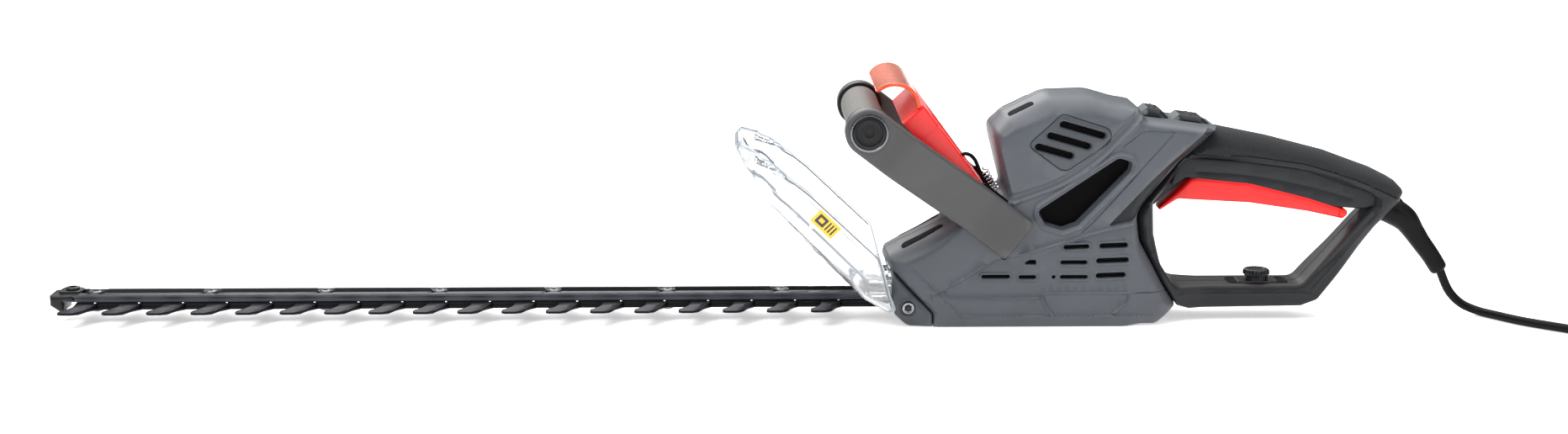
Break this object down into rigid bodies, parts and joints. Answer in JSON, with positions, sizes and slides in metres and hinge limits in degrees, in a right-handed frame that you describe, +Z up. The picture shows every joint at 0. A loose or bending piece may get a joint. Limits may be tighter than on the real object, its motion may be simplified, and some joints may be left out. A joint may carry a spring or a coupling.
{
  "type": "hedge trimmer",
  "caption": "Corded electric hedge trimmer with a double-sided reciprocating blade, bridge front handle with switch lever, clear hand guard and D-shaped rear handle.",
  "frame": {"origin": "centre of the object's footprint box, on the surface that the base rests on, without the mains lead", "axes": "+X to the rear along the blade, -Y to the operator's left, +Z up"},
  "size_m": [1.1899, 0.1674, 0.1822],
  "materials": {
    "housing_grey": "fine spark texture",
    "cover_grey": "fine spark texture",
    "handle_grey": "fine spark texture",
    "soft_grip": "coarse grip texture",
    "pocket_black": "matt",
    "arm_grey": "fine texture",
    "grip_tube": "soft sleeve",
    "black_plastic": "satin",
    "bright_steel": "plated",
    "screw_steel": "zinc plated",
    "clear_guard": "clear polycarbonate",
    "label_yellow": "printed film",
    "rail_black": "black coating",
    "blade_black": "blackened steel",
    "cast_alloy": "as cast",
    "bronze": "sintered",
    "lamination": "stacked sheet",
    "copper": "turned copper",
    "carbon": "graphite",
    "capacitor_box": "moulded",
    "cord_black": "satin rubber",
    "gear_steel": "machined",
    "fan_plastic": "moulded",
    "red_plastic": "satin",
    "hook_clear_red": "translucent",
    "button_blue_black": "satin",
    "knob_black": "satin"
  },
  "bodies": {
    "housing": {"housing_left": "housing_grey", "housing_right": "housing_grey", "rear_handle_left": "handle_grey", "rear_handle_right": "handle_grey", "grip_overlay": "soft_grip", "gear_cover": "cover_grey", "vent_grilles": "housing_grey", "pocket_liners": "pocket_black", "front_arm_left": "arm_grey", "front_arm_right": "arm_grey", "front_grip": "grip_tube", "grip_flanges": "black_plastic", "grip_caps": "black_plastic", "cap_rings": "bright_steel", "grip_rod": "screw_steel", "arm_screws": "screw_steel", "hand_guard": "clear_guard", "guard_label": "label_yellow", "guard_screws": "bright_steel", "support_rail": "rail_black", "rail_bolts": "bright_steel", "tip_guard": "rail_black", "gearcase_base": "cast_alloy", "gearcase_bracket": "cast_alloy", "gear_bush": "bronze", "stator": "lamination", "brush_ring": "black_plastic", "brushes": "carbon", "lower_bearing": "screw_steel", "upper_bearing": "screw_steel", "rear_switch": "black_plastic", "front_switch": "black_plastic", "capacitor": "capacitor_box", "cable_clamp": "black_plastic", "switch_wire": "cord_black", "lever_spring": "bright_steel", "hinge_pins": "screw_steel", "trigger_spring": "bright_steel", "button_springs": "bright_steel", "case_screws": "screw_steel", "cord_boot": "cord_black", "cord_lead": "cord_black", "plug_body": "black_plastic", "plug_pins": "bright_steel"},
    "drive_gear": {"gear_wheel": "gear_steel", "gear_shaft": "screw_steel", "eccentrics": "gear_steel"},
    "armature": {"armature_shaft": "screw_steel", "armature_core": "lamination", "commutator": "copper", "fan": "fan_plastic", "pinion": "gear_steel"},
    "lower_blade": {"lower_blade": "blade_black"},
    "upper_blade": {"upper_blade": "blade_black"},
    "trigger": {"trigger": "red_plastic"},
    "front_lever": {"lever_base": "red_plastic", "lever_hook": "hook_clear_red"},
    "front_button": {"front_button": "button_blue_black"},
    "rear_button": {"rear_button": "button_blue_black"},
    "lock_knob": {"lock_knob": "knob_black"}
  },
  "joints": [
    {"name": "gear_spin", "type": "hinge", "parent": "housing", "child": "drive_gear", "pos_m": [0.196, 0, 0.03], "axis": [0, 0, 1], "continuous": true},
    {"name": "armature_spin", "type": "hinge", "parent": "housing", "child": "armature", "pos_m": [0.23, 0, 0.1], "axis": [0, 0, 1], "continuous": true},
    {"name": "lower_blade_slide", "type": "slide", "parent": "housing", "child": "lower_blade", "axis": [1, 0, 0], "range_m": [-0.008, 0.008]},
    {"name": "upper_blade_slide", "type": "slide", "parent": "housing", "child": "upper_blade", "axis": [1, 0, 0], "range_m": [-0.008, 0.008]},
    {"name": "trigger_press", "type": "hinge", "parent": "housing", "child": "trigger", "pos_m": [0.451, 0, 0.079], "axis": [0, 1, 0], "range_deg": [0, 5], "stiffness_Nm_per_rad": 1, "springref_deg": -11.46},
    {"name": "lever_squeeze", "type": "hinge", "parent": "housing", "child": "front_lever", "pos_m": [0.186, 0, 0.099], "axis": [0, -1, 0], "range_deg": [0, 4.5], "stiffness_Nm_per_rad": 1.5, "springref_deg": -14.32},
    {"name": "front_button_press", "type": "slide", "parent": "housing", "child": "front_button", "axis": [0, 0, -1], "range_m": [0, 0.003], "stiffness_N_per_m": 400, "springref_m": -0.004},
    {"name": "rear_button_press", "type": "slide", "parent": "housing", "child": "rear_button", "axis": [0, 0, -1], "range_m": [0, 0.003], "stiffness_N_per_m": 400, "springref_m": -0.004},
    {"name": "lock_slide", "type": "slide", "parent": "housing", "child": "lock_knob", "axis": [1, 0, 0], "range_m": [-0.011, 0.011]}
  ],
  "couplings": [
    {"joint": "armature_spin", "follows": "gear_spin", "ratio": -4.6667},
    {"joint": "upper_blade_slide", "follows": "lower_blade_slide", "ratio": -1}
  ]
}
